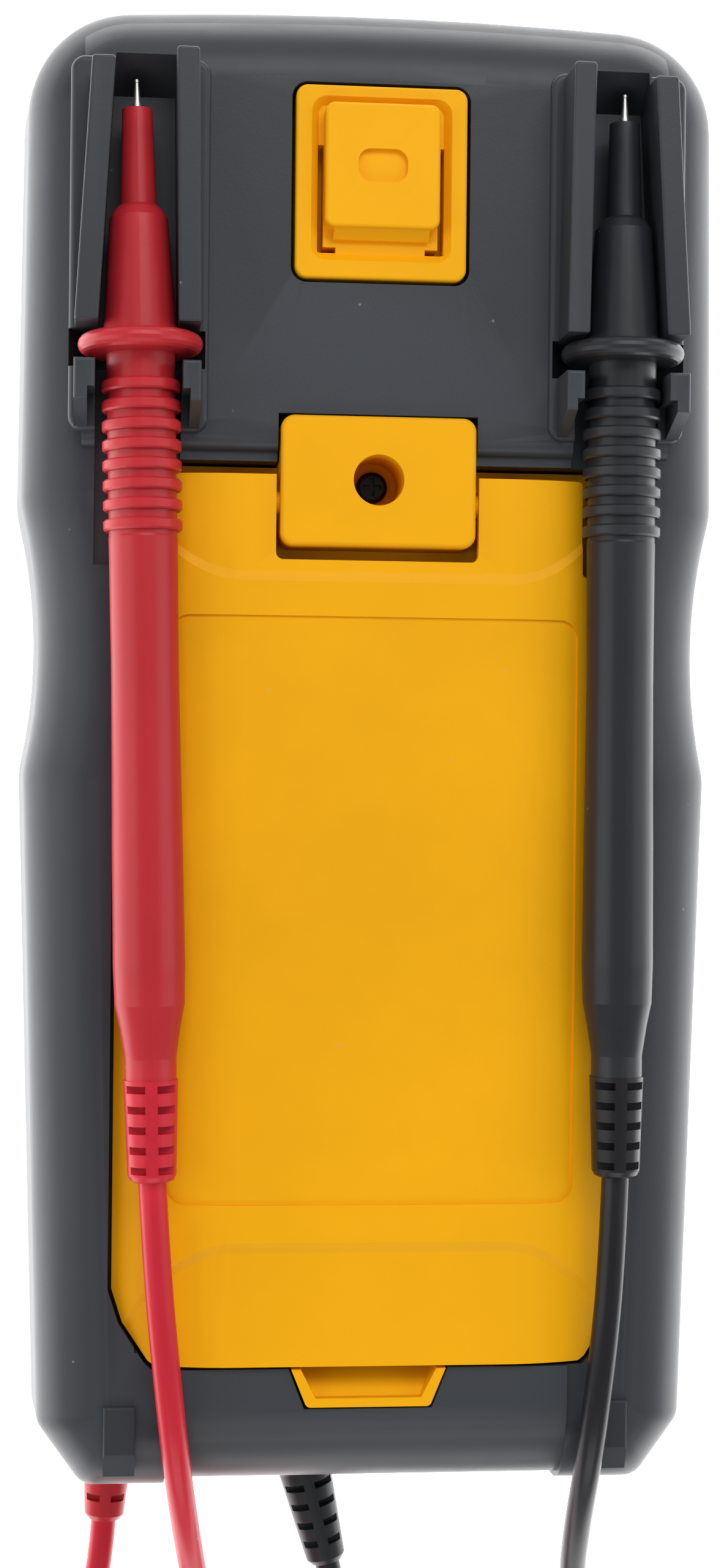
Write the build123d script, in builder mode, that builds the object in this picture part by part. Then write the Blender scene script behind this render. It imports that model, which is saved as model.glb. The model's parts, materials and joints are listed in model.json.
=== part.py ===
"""Handheld digital multimeter with two test leads, lying on its face.

Millimetres. X is across the meter, +Y is towards its display end, and +Z points out of its back.
The front rim rests on z = 0, and x = 0 is the plane of symmetry of the case.
"""
from build123d import *
import math
import os

os.makedirs("parts", exist_ok=True)

# ---- Case -------------------------------------------------------------------------------------
body_length = 203.0
body_width = 97.2
waist_narrowing = 2.5
end_narrowing = 3.3
corner_radius = 15.0
end_bevel_x = 6.6
end_bevel_y = 9.2
top_arch = 1.9
waist_y_from_top = 87.0
waist_half_length = 18.0

front_face_z = 7.0
jack_face_z = 13.0
split_z = 22.0
shoulder_z = 43.5
deck_z = 45.2
roll_radius = 10.0
side_draft = 4.5
deck_inset = 1.2
deck_edge_radius = 1.6
front_roll_radius = 4.0
wall = 2.5
rim_width = 7.5
seal_width = 1.3
seal_inset = 0.6
seal_depth = 1.0

y_top = body_length / 2
y_bottom = -body_length / 2
half_width = body_width / 2
waist_y = y_top - waist_y_from_top
jack_step_y = y_bottom + 37.5
jack_end_half = 41.0
deck_half = 39.5

# ---- Lower end --------------------------------------------------------------------------------
tail_half = 27.0
tail_z = 44.5
tail_roll = 13.0
tail_inset = 1.3
foot_x = 33.2
foot_width = 4.2
foot_proud = 0.8
foot_top_y = y_bottom + 13.6
foot_bend_y = y_bottom + 7.3
foot_bottom_y = y_bottom + 4.1
foot_drop = 1.5
foot_depth = 2.0

# ---- Grip ribs --------------------------------------------------------------------------------
rib_count = 5
rib_proud = 0.8
rib_thick = 4.3
rib_point = 1.2
rib_pitch = 16.5
rib_reach = 9.0
rib_slants = (-28.0, -28.0, 0.0, 24.0, 24.0)
first_rib_y = y_top - 109.5
rib_low_z = 9.0

# ---- Tilt stand -------------------------------------------------------------------------------
stand_z = 46.0
stand_half_width = 34.4
stand_flat_half = 18.0
stand_wing_z = 41.2
stand_thick = 2.2
stand_head_half = 28.0
stand_top_y = y_top - 65.2
stand_wing_y = y_top - 80.0
stand_bottom_y = y_bottom + 19.0
stand_gap = 0.5
stand_top_gap = 1.9
hinge_y = stand_top_y - 3.6
hinge_z = 43.4
trunnion_radius = 1.5
trunnion_length = 2.4
knuckle_radius = 2.0
knuckle_length = 3.4
running_clearance = 0.05
panel_half_width = 27.4
panel_depth = 0.35
panel_corner = 2.5
panel_top_y = stand_top_y - 18.8
panel_bottom_y = stand_bottom_y + 21.6
upper_band_y = stand_top_y - 14.2
lower_band_y = stand_bottom_y + 16.6
end_zone_drop = 0.5
band_slope = 70.0

# ---- Battery cover ----------------------------------------------------------------------------
cover_floor_z = 36.4
cover_thick = 2.2
cover_half_width = 31.0
cover_gap = 0.3
block_half_width = 13.1
block_top_y = stand_top_y + 7.9
block_bottom_y = stand_top_y - 9.5
block_z = 46.4
notch_gap = 0.5
notch_corner = 1.0
notch_bottom_y = stand_top_y - 11.3
scoop_top_half = 10.6
scoop_bottom_half = 8.3
scoop_bottom_y = stand_bottom_y - 5.6
scoop_lip = 1.2
scoop_z = 44.9
cover_screw_y = stand_top_y - 0.6
cover_screw_hole = 3.4
cover_screw_head = 2.15
cover_screw_head_height = 1.4
cover_screw_seat_z = 36.0
cover_screw_radius = 1.5
cover_screw_length = 9.0
cover_sleeve_radius = 4.0
cover_sleeve_z = 34.4
insert_radius = 2.4
insert_length = 6.0

# ---- Probe holders ----------------------------------------------------------------------------
pad_inner_x = 22.8
pad_outer_x = 41.3
pad_z = 46.0
pad_bottom_y = y_top - 60.0
pad_top_y = y_top - 10.5
rail_z = 53.6
rail_inner = (24.0, 27.0)
rail_outer = (37.4, 40.5)
rail_taper = 2.0
rail_lean = 0.6
bridge_z = 49.3
bridge_y = y_top - 11.1
bridge_run = 4.0
rail_bottom_y = y_top - 46.8
outer_rail_top_y = y_top - 12.5
channel_inner_x = 26.4
channel_outer_x = 37.75
channel_floor_z = 42.7
channel_end_y = y_top - 77.5
ring_slot_y = y_top - 49.1
ring_slot_length = 5.0
ring_slot_radius = 9.3
ring_slot_x = 32.35
ring_slot_z = 47.9
jaw_top_y = y_top - 51.6
jaw_flat_y = y_top - 56.8
jaw_bottom_y = y_top - 59.5
jaw_step = 1.0
jaw_step_length = 1.5

# ---- Hanger insert ----------------------------------------------------------------------------
hanger_half_width = 11.5
hanger_top_y = y_top - 13.3
hanger_bottom_y = y_top - 39.0
hanger_floor_z = 40.2
hanger_z = 45.9
hanger_gap = 0.5
hanger_well_half = 9.4
hanger_well_top_y = y_top - 14.8
hanger_well_bottom_y = y_top - 36.6
hanger_well_z = 44.7
hanger_well_flare = 40.0
hanger_corner = 1.6
hanger_button_half = 7.7
hanger_button_top_y = y_top - 15.9
hanger_button_bottom_y = y_top - 32.5
hanger_button_z = 47.6
hanger_slot_half = 3.3
hanger_slot_corner = 1.7
hanger_slot_depth = 0.8
hanger_slot_y = y_top - 24.2
hanger_slot_height = 4.4
hanger_groove = 0.8

# ---- Front parts ------------------------------------------------------------------------------
faceplate_thick = 0.8
faceplate_margin = 0.6
window_half_width = 32.0
window_length = 38.0
window_centre_y = y_top - 31.5
window_ledge = 1.5
window_thick = 1.4
button_names = ("select", "range", "hold", "backlight", "max_min", "relative")
button_pitch = 12.2
button_width = 9.0
button_length = 5.6
button_y = y_top - 58.6
button_proud = 1.4
button_travel = 0.8
button_gap = 0.15
button_flange = 0.8
button_flange_thick = 1.1
knob_radius = 21.0
knob_y = y_top - 119.5
knob_face_z = 1.0
knob_disc_z = 3.4
knob_shaft_radius = 7.0
grip_half_width = 4.6

# ---- Inside -----------------------------------------------------------------------------------
board_z = 16.8
board_thick = 1.6
board_margin = 5.0
rotor_radius = 17.0
rotor_z = 9.7
rotor_thick = 3.8
contact_gap = 0.2
detent_wall_radius = 18.3
ball_radius = 1.1
cell_radius = 7.1
cell_length = 49.2
nib_length = 1.0
nib_radius = 2.6
cell_count = 4
cell_pitch = 14.8
cell_z = 28.7
contact_plate = 0.4
spring_length = 3.0
compartment_y = y_top - 98.1
compartment_half_width = 29.8
compartment_floor_z = 21.4
compartment_wall = 1.5
jack_outer_x = 33.0
jack_inner_x = 11.0
jack_outer_y = y_bottom + 25.5
jack_inner_y = y_bottom + 17.5
jack_top_z = 34.0
jack_radius = 3.4
jack_bore_radius = 2.05
jack_flange_radius = 4.6
jack_hole_radius = 5.2
jack_well_wall = 1.4
case_screw_places = ((26.0, y_top - 66.5), (20.0, y_bottom + 35.5))
case_screw_radius = 1.3
case_screw_head = 2.6
case_screw_seat_z = 30.2
case_screw_length = 14.2
case_screw_head_height = 2.0
sleeve_radius = 4.2
boss_radius = 3.0
board_screw_places = ((40.3, y_top - 54.5), (38.6, y_bottom + 62.0))
board_screw_radius = 1.0
board_screw_head = 2.0
board_boss_radius = 2.5
fuse_10a_radius = 5.1
fuse_10a_length = 38.0
fuse_10a_y = y_bottom + 63.5
fuse_ma_radius = 3.1
fuse_ma_length = 32.0
fuse_ma_y = y_bottom + 49.5
clip_thick = 0.5
clip_width = 6.0
buzzer_radius = 6.0
buzzer_height = 4.0
chip_size = 12.0

# ---- Probes -----------------------------------------------------------------------------------
tip_length = 4.1
tip_radius = 0.3
tip_taper_end = 3.3
rod_radius = 0.6
rod_inside = 8.0
nose_end = 16.7
guard_start = 33.6
guard_end = 36.3
guard_radius = 8.2
guard_round = 1.3
cone_radius = 4.85
grip_start = 39.8
grip_pitch = 2.6
grip_length = 1.5
grip_rings = 8
grip_radius = 5.2
core_radius = 4.5
barrel_start = 60.1
neck_start = 122.5
neck_end = 128.5
relief_start = 131.3
relief_length = 13.4
relief_slots = 5
relief_slot_pitch = 2.65
relief_slot_length = 1.0

# ---- Plugs and cords --------------------------------------------------------------------------
cord_diameter = 3.7
soft_gap = 0.3
plug_axis_z = 6.4
plug_elbow_radius = 6.0
plug_collar_radius = 4.5
plug_collar_z = 16.4
plug_relief_start = 22.0
plug_length = 37.3
pin_radius = 2.0
pin_top_z = 32.0
coil_mean_radius = 20.4
coil_section = 3 * cord_diameter
coil_centre_y = y_bottom - 63.5
coil_centre_x = 28.0


# ---- Helpers ----------------------------------------------------------------------------------
def save(block, name):
    block.part.label = name
    export_step(block.part, f"parts/{name}.step")


def slab(x_range, y_range, z_range):
    """A plain block between six planes."""
    with BuildPart(mode=Mode.PRIVATE) as block:
        with BuildSketch(Plane.XY.offset(min(z_range))):
            with Locations((sum(x_range) / 2, sum(y_range) / 2)):
                Rectangle(abs(x_range[1] - x_range[0]), abs(y_range[1] - y_range[0]))
        extrude(amount=abs(z_range[1] - z_range[0]))
    return block.part


def post(x, y, radius, z_range):
    """An upright round bar."""
    with BuildPart(mode=Mode.PRIVATE) as bar:
        with BuildSketch(Plane.XY.offset(z_range[0])):
            with Locations((x, y)):
                Circle(radius)
        extrude(amount=z_range[1] - z_range[0])
    return bar.part


def plan_prism(points, z_range, corner=0.0):
    """An upright prism on a closed polygon, its corners rounded."""
    with BuildPart(mode=Mode.PRIVATE) as prism:
        with BuildSketch(Plane.XY.offset(z_range[0])) as shape:
            with BuildLine():
                Polyline(*points, close=True)
            make_face()
            if corner:
                fillet(shape.vertices(), radius=corner)
        extrude(amount=z_range[1] - z_range[0])
    return prism.part


def side_prism(profile, x_range):
    """A bar along X whose (y, z) profile is given."""
    with BuildPart(mode=Mode.PRIVATE) as bar:
        with BuildSketch(Plane.YZ.offset(min(x_range))):
            with BuildLine():
                Polyline(*profile, close=True)
            make_face()
        extrude(amount=abs(x_range[1] - x_range[0]))
    return bar.part


def both_sides(points):
    """Mirror a right-hand run of plan points to close a symmetrical outline."""
    return points + [(-x, y) for x, y in reversed(points)]


def mirrored_places(places):
    return [(side * x, y) for x, y in places for side in (-1, 1)]


def case_outline(grow=0.0):
    """Plan outline of the case, seen from its back, grown or shrunk all round."""
    right = half_width
    lower = half_width - end_narrowing
    waist = half_width - waist_narrowing
    waist_top = waist_y + waist_half_length
    waist_bottom = waist_y - waist_half_length
    top_x = right - 0.7
    top_side_y = y_top - top_arch
    with BuildSketch(mode=Mode.PRIVATE) as outline:
        with BuildLine():
            ThreePointArc((top_x, top_side_y), (0, y_top), (-top_x, top_side_y))
            Line((-top_x, top_side_y), (-right, waist_top))
            ThreePointArc((-right, waist_top), (-waist, waist_y), (0.6 - right, waist_bottom))
            Line((0.6 - right, waist_bottom), (-lower, y_bottom + end_bevel_y))
            Line((-lower, y_bottom + end_bevel_y), (end_bevel_x - lower, y_bottom))
            Line((end_bevel_x - lower, y_bottom), (lower - end_bevel_x, y_bottom))
            Line((lower - end_bevel_x, y_bottom), (lower, y_bottom + end_bevel_y))
            Line((lower, y_bottom + end_bevel_y), (right - 0.6, waist_bottom))
            ThreePointArc((right - 0.6, waist_bottom), (waist, waist_y), (right, waist_top))
            Line((right, waist_top), (top_x, top_side_y))
        make_face()
        top_corners = outline.vertices().group_by(Axis.Y)[-1]
        fillet(top_corners, radius=corner_radius)
        waist_ends = [v for v in outline.vertices() if abs(v.Y - waist_top) < 0.1]
        waist_ends += [v for v in outline.vertices() if abs(v.Y - waist_bottom) < 0.1]
        fillet(waist_ends, radius=12)
        bevels = [v for v in outline.vertices() if v.Y < y_bottom + end_bevel_y + 0.1]
        fillet(bevels, radius=4)
        if grow:
            offset(amount=grow, kind=Kind.ARC)
    return outline.sketch


def case_prism(grow, low_z, high_z):
    """An upright prism on the case's outline."""
    with BuildPart(mode=Mode.PRIVATE) as prism:
        with BuildSketch(Plane.XY.offset(low_z)):
            add(case_outline(grow))
        extrude(amount=high_z - low_z)
    return prism.part


def back_form(grow, high_z, radius):
    """The back half's form up to a level, drafted inwards and rolled over at its upper edge."""
    with BuildPart(mode=Mode.PRIVATE) as form:
        with BuildSketch(Plane.XY.offset(split_z)):
            add(case_outline(grow))
        extrude(amount=high_z - split_z, taper=side_draft)
        fillet(form.faces().sort_by(Axis.Z)[-1].edges(), radius=radius)
    return form.part


def front_form():
    """The front half's form, rolled over at its rim."""
    with BuildPart(mode=Mode.PRIVATE) as form:
        add(case_prism(0, 0, split_z))
        fillet(form.faces().sort_by(Axis.Z)[0].edges(), radius=front_roll_radius)
    return form.part


def rib_x(y):
    """Half width of the case on its lower sides at a height y."""
    lower = half_width - end_narrowing
    span = (waist_y - waist_half_length) - (y_bottom + end_bevel_y)
    return lower + (end_narrowing - 0.6) * (y - y_bottom - end_bevel_y) / span


def grip_ribs(form, z_range):
    """Slanted ribs down both sides, standing proud of the side and fading into the back."""
    with BuildPart(mode=Mode.PRIVATE) as ribs:
        with BuildSketch(Plane.XY.offset(z_range[0])):
            for index in range(rib_count):
                y = first_rib_y - index * rib_pitch
                x = rib_x(y) - rib_reach / 2 + 2
                for side in (-1, 1):
                    place = Location((side * x, y - 1, 0), (0, 0, -side * rib_slants[index]))
                    outer = side * (rib_reach / 2 + 2)
                    blade = [
                        (outer, -rib_thick / 2),
                        (outer, rib_thick / 2),
                        (-outer, rib_point / 2),
                        (-outer, -rib_point / 2),
                    ]
                    with Locations(place):
                        with BuildLine():
                            Polyline(*blade, close=True)
                        make_face()
        extrude(amount=z_range[1] - z_range[0])
        add(form, mode=Mode.INTERSECT)
    return ribs.part


def stand_outline(grow, z_range, corner=0.0):
    """The stand's plan: narrow at its hinge, wide down its wings, bevelled at its lower end."""
    g = grow
    right = [
        (stand_head_half + g, stand_top_y + g),
        (stand_head_half + g, stand_wing_y + 2 + g),
        (stand_half_width + g, stand_wing_y + g),
        (stand_half_width + g, stand_bottom_y + 9.9),
        (stand_half_width - 1.5 + g, stand_bottom_y + 5.4),
        (stand_half_width - 4.9 + g, stand_bottom_y + 0.6 - g / 2),
        (stand_half_width - 5.8 + g, stand_bottom_y - g),
    ]
    return plan_prism(both_sides(right), z_range, corner)


def scoop_outline(grow, z_range, corner=0.0):
    g = grow
    right = [
        (scoop_top_half + g, stand_bottom_y + 2),
        (scoop_top_half + g, stand_bottom_y),
        (scoop_bottom_half + g, scoop_bottom_y - g),
    ]
    return plan_prism(both_sides(right), z_range, corner)


# ---- Rear case --------------------------------------------------------------------------------
def tail_profile(inset):
    """(y, z) face of the rolled-over lower end between the legs."""
    top = tail_z - inset
    end = y_bottom + tail_inset + inset
    roll = tail_roll - inset
    with BuildPart(mode=Mode.PRIVATE) as tail:
        with BuildSketch(Plane.YZ.offset(-tail_half)):
            with BuildLine():
                Line((end, split_z), (end, top - roll))
                RadiusArc((end, top - roll), (end + roll, top), roll)
                Line((end + roll, top), (stand_bottom_y + 2, top))
                Line((stand_bottom_y + 2, top), (stand_bottom_y + 2, split_z))
                Line((stand_bottom_y + 2, split_z), (end, split_z))
            make_face()
        extrude(amount=2 * tail_half)
    return tail.part


def holder_body():
    """Raised pads, rails and jaws that hold the two probes."""
    with BuildPart(mode=Mode.PRIVATE) as body:
        add(slab((pad_inner_x, pad_outer_x), (pad_bottom_y, pad_top_y), (shoulder_z - 4, pad_z)))
        fillet(body.edges().filter_by(Axis.Z), radius=2)
        fillet(body.faces().sort_by(Axis.Z)[-1].edges(), radius=0.8)
    with BuildPart(mode=Mode.PRIVATE) as rails:
        inner = [
            (rail_inner[0], rail_bottom_y),
            (rail_inner[1], rail_bottom_y),
            (rail_inner[1] + rail_lean, pad_top_y - 0.5),
            (rail_inner[0] + rail_lean, pad_top_y - 0.5),
        ]
        outer = [
            (rail_outer[0], rail_bottom_y),
            (rail_outer[1], rail_bottom_y),
            (rail_outer[1] - rail_taper, outer_rail_top_y),
            (rail_outer[0] - rail_taper, outer_rail_top_y),
        ]
        add(plan_prism(inner, (pad_z - 2, rail_z), 0.5))
        add(plan_prism(outer, (pad_z - 2, rail_z), 0.5))
        fillet(rails.faces().group_by(Axis.Z)[-1].edges(), radius=0.4)
        bridge_x = (rail_inner[1], rail_outer[0] - rail_taper + 0.3)
        add(slab(bridge_x, (bridge_y - bridge_run, bridge_y + 0.4), (pad_z - 2, bridge_z)))
    with BuildPart(mode=Mode.PRIVATE) as jaws:
        profile = [
            (jaw_top_y, pad_z - 2),
            (jaw_top_y, rail_z),
            (jaw_flat_y, rail_z),
            (jaw_bottom_y, pad_z + 0.4),
            (jaw_bottom_y, pad_z - 2),
        ]
        add(side_prism(profile, (rail_inner[0], channel_inner_x)))
        add(side_prism(profile, (channel_outer_x, rail_outer[1])))
        fillet(jaws.faces().group_by(Axis.Z)[-1].edges(), radius=0.4)
        for x_range in (
            (channel_inner_x - jaw_step, channel_inner_x),
            (channel_outer_x, channel_outer_x + jaw_step),
        ):
            step_y = jaw_flat_y + jaw_step_length
            add(slab(x_range, (pad_bottom_y - 1, step_y), (pad_z, rail_z + 1)), mode=Mode.SUBTRACT)
    with BuildPart(mode=Mode.PRIVATE) as holders:
        add(body.part)
        add(rails.part)
        add(jaws.part)
        mirror(about=Plane.YZ)
    return holders.part


def holder_channels():
    """The space each probe lies in: a long channel and a round slot for the guard ring."""
    with BuildPart(mode=Mode.PRIVATE) as channels:
        channel = [
            (channel_inner_x, channel_end_y),
            (channel_outer_x, channel_end_y),
            (channel_outer_x, jaw_top_y),
            (rail_outer[0], rail_bottom_y),
            (rail_outer[0] - rail_taper, bridge_y),
            (rail_inner[1] + rail_lean, bridge_y),
            (rail_inner[1], rail_bottom_y),
            (channel_inner_x, jaw_top_y),
        ]
        ramp = [
            (bridge_y - bridge_run, channel_floor_z),
            (bridge_y, bridge_z),
            (bridge_y + 1, bridge_z),
            (bridge_y + 1, channel_floor_z - 1),
            (bridge_y - bridge_run, channel_floor_z - 1),
        ]
        add(plan_prism(channel, (channel_floor_z, rail_z + 1)))
        add(side_prism(ramp, (channel_inner_x - 1, channel_outer_x + 1)), mode=Mode.SUBTRACT)
        with BuildSketch(Plane.XZ.offset(-ring_slot_y - ring_slot_length / 2)):
            with Locations((ring_slot_x, ring_slot_z)):
                Circle(ring_slot_radius)
        extrude(amount=ring_slot_length)
        add(
            slab(
                (ring_slot_x - ring_slot_radius, ring_slot_x + ring_slot_radius),
                (ring_slot_y - ring_slot_length / 2, ring_slot_y + ring_slot_length / 2),
                (ring_slot_z, rail_z + 1),
            )
        )
        mirror(about=Plane.YZ)
    return channels.part


def battery_space():
    return slab(
        (-compartment_half_width, compartment_half_width),
        (compartment_y - compartment_length / 2, compartment_y + compartment_length / 2),
        (compartment_floor_z, cover_floor_z + 1),
    )


compartment_length = cell_length + nib_length + 2 * contact_plate + spring_length
compartment_top_y = compartment_y + compartment_length / 2
compartment_bottom_y = compartment_y - compartment_length / 2
tub_half = compartment_half_width + compartment_wall
tub_range_y = (compartment_bottom_y - compartment_wall, compartment_top_y + compartment_wall)
jack_places = {
    "volt": (-jack_outer_x, jack_outer_y),
    "com": (-jack_inner_x, jack_inner_y),
    "ma": (jack_inner_x, jack_inner_y),
    "10a": (jack_outer_x, jack_outer_y),
}

with BuildPart(mode=Mode.PRIVATE) as rear_space:
    add(back_form(-wall, shoulder_z - wall, roll_radius - wall))
    recess_y = (y_bottom, stand_top_y + stand_top_gap + wall)
    recess_top = cover_floor_z - cover_thick
    side = stand_half_width + stand_gap + wall
    add(slab((-side, side), recess_y, (recess_top, shoulder_z)), mode=Mode.SUBTRACT)
    add(
        slab((-tail_half - wall, tail_half + wall), (y_bottom, y_bottom + tail_inset + wall), (0, 60)),
        mode=Mode.SUBTRACT,
    )
    hanger_side = hanger_half_width + hanger_gap + wall
    hanger_y = (hanger_bottom_y - hanger_gap - wall, hanger_top_y + hanger_gap + wall)
    add(
        slab((-hanger_side, hanger_side), hanger_y, (hanger_floor_z - wall, shoulder_z)),
        mode=Mode.SUBTRACT,
    )
    slot_y = (ring_slot_y - ring_slot_length / 2 - wall, ring_slot_y + ring_slot_length / 2 + wall)
    for side in (-1, 1):
        slot_x = (side * (pad_inner_x - 1), side * half_width)
        channel_x = (side * (channel_inner_x - wall), side * (channel_outer_x + wall))
        slot_floor = ring_slot_z - ring_slot_radius - wall
        add(slab(slot_x, slot_y, (slot_floor, shoulder_z)), mode=Mode.SUBTRACT)
        add(
            slab(channel_x, (stand_top_y, pad_top_y), (channel_floor_z - wall, shoulder_z)),
            mode=Mode.SUBTRACT,
        )
    add(slab((-tub_half, tub_half), tub_range_y, (0, shoulder_z)), mode=Mode.SUBTRACT)
    for x, y in mirrored_places(case_screw_places):
        add(post(x, y, sleeve_radius, (0, shoulder_z)), mode=Mode.SUBTRACT)
    add(
        post(0, cover_screw_y, insert_radius + 2, (cover_screw_seat_z - cover_screw_length - 1, 60)),
        mode=Mode.SUBTRACT,
    )

with BuildPart() as rear_case:
    add(back_form(0, shoulder_z, roll_radius))
    add(grip_ribs(back_form(rib_proud, shoulder_z, roll_radius), (split_z, shoulder_z)))
    deck_low_y = pad_bottom_y - 2
    with BuildPart(mode=Mode.PRIVATE) as raised_deck:
        add(back_form(-deck_inset, deck_z, roll_radius))
        deck_range = slab((-deck_half, deck_half), (deck_low_y, y_top), (shoulder_z - 4, deck_z + 1))
        add(deck_range, mode=Mode.INTERSECT)
        low_edges = [e for e in raised_deck.edges().filter_by(Axis.X) if e.center().Z > deck_z - 0.1]
        low_edges = [e for e in low_edges if abs(e.center().Y - deck_low_y) < 0.1]
        fillet(low_edges, radius=deck_edge_radius)
    add(raised_deck.part)
    add(holder_body())
    tail_cut = slab((-tail_half, tail_half), (y_bottom - 2, stand_bottom_y), (split_z, 60))
    with BuildPart(mode=Mode.PRIVATE) as tail_waste:
        add(tail_cut)
        add(tail_profile(0), mode=Mode.SUBTRACT)
    add(tail_profile(0))
    add(tail_waste.part, mode=Mode.SUBTRACT)
    add(slab((-tub_half, tub_half), tub_range_y, (compartment_floor_z - cover_thick, split_z)))
    add(holder_channels(), mode=Mode.SUBTRACT)
    add(rear_space.part, mode=Mode.SUBTRACT)
    ledge_z = cover_floor_z + cover_thick
    add(stand_outline(stand_gap, (ledge_z, 60)), mode=Mode.SUBTRACT)
    top_notch_y = (stand_top_y - 3, stand_top_y + stand_top_gap)
    head = stand_head_half + stand_gap
    add(slab((-head, head), top_notch_y, (ledge_z, 60)), mode=Mode.SUBTRACT)
    cover_side = cover_half_width + cover_gap
    plate_y = (stand_bottom_y + 2 - cover_gap, stand_top_y + stand_top_gap)
    add(slab((-cover_side, cover_side), plate_y, (cover_floor_z, 60)), mode=Mode.SUBTRACT)
    block_side = block_half_width + cover_gap
    block_y = (stand_top_y, block_top_y + cover_gap)
    add(slab((-block_side, block_side), block_y, (cover_floor_z, 60)), mode=Mode.SUBTRACT)
    add(scoop_outline(cover_gap, (cover_floor_z, 60)), mode=Mode.SUBTRACT)
    hanger_pocket_x = hanger_half_width + hanger_gap
    hanger_pocket_y = (hanger_bottom_y - hanger_gap, hanger_top_y + hanger_gap)
    with BuildPart(mode=Mode.PRIVATE) as hanger_pocket:
        add(slab((-hanger_pocket_x, hanger_pocket_x), hanger_pocket_y, (hanger_floor_z, 60)))
        fillet(hanger_pocket.edges().filter_by(Axis.Z), radius=hanger_corner + hanger_gap)
    add(hanger_pocket.part, mode=Mode.SUBTRACT)
    for side in (-1, 1):
        foot_range_x = (side * (foot_x - foot_width / 2), side * (foot_x + foot_width / 2))
        foot_range_y = (foot_bottom_y, foot_top_y)
        foot_floor = shoulder_z - foot_depth - foot_drop
        add(slab(foot_range_x, foot_range_y, (foot_floor, 60)), mode=Mode.SUBTRACT)
    add(battery_space(), mode=Mode.SUBTRACT)
    add(
        post(0, cover_screw_y, cover_sleeve_radius + 0.1, (cover_sleeve_z, 60)),
        mode=Mode.SUBTRACT,
    )
    insert_bottom_z = cover_sleeve_z - insert_length - 0.4
    add(
        post(0, cover_screw_y, insert_radius, (insert_bottom_z, 60)),
        mode=Mode.SUBTRACT,
    )
    screw_tip_z = cover_screw_seat_z - cover_screw_length
    add(
        post(0, cover_screw_y, cover_screw_radius + running_clearance, (screw_tip_z - 0.2, 60)),
        mode=Mode.SUBTRACT,
    )
    for x, y in mirrored_places(case_screw_places):
        add(post(x, y, case_screw_head + 0.3, (case_screw_seat_z, 60)), mode=Mode.SUBTRACT)
        bore = case_screw_radius + running_clearance
        add(post(x, y, bore, (split_z - 1, 60)), mode=Mode.SUBTRACT)
save(rear_case, "rear_case")

# ---- Front case -------------------------------------------------------------------------------
def button_x(index):
    return (index - (len(button_names) - 1) / 2) * button_pitch


window_y = (window_centre_y - window_length / 2, window_centre_y + window_length / 2)
face_top_z = front_face_z + wall
jack_floor_z = jack_face_z + wall

with BuildPart(mode=Mode.PRIVATE) as front_space:
    add(case_prism(-wall, face_top_z, split_z))
    jack_end = (y_bottom - 1, jack_step_y + wall)
    add(slab((-half_width, half_width), jack_end, (0, jack_floor_z)), mode=Mode.SUBTRACT)
    for x, y in mirrored_places(case_screw_places):
        add(post(x, y, boss_radius, (0, split_z)), mode=Mode.SUBTRACT)
    for x, y in mirrored_places(board_screw_places):
        add(post(x, y, board_boss_radius, (0, board_z)), mode=Mode.SUBTRACT)
    for x, y in jack_places.values():
        well = post(x, y, jack_hole_radius + jack_well_wall, (0, board_z - contact_gap))
        add(well, mode=Mode.SUBTRACT)
    with BuildPart(mode=Mode.PRIVATE) as detent_wall:
        add(post(0, knob_y, detent_wall_radius + wall, (0, rotor_z + rotor_thick)))
        add(post(0, knob_y, detent_wall_radius, (0, split_z)), mode=Mode.SUBTRACT)
    add(detent_wall.part, mode=Mode.SUBTRACT)

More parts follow.
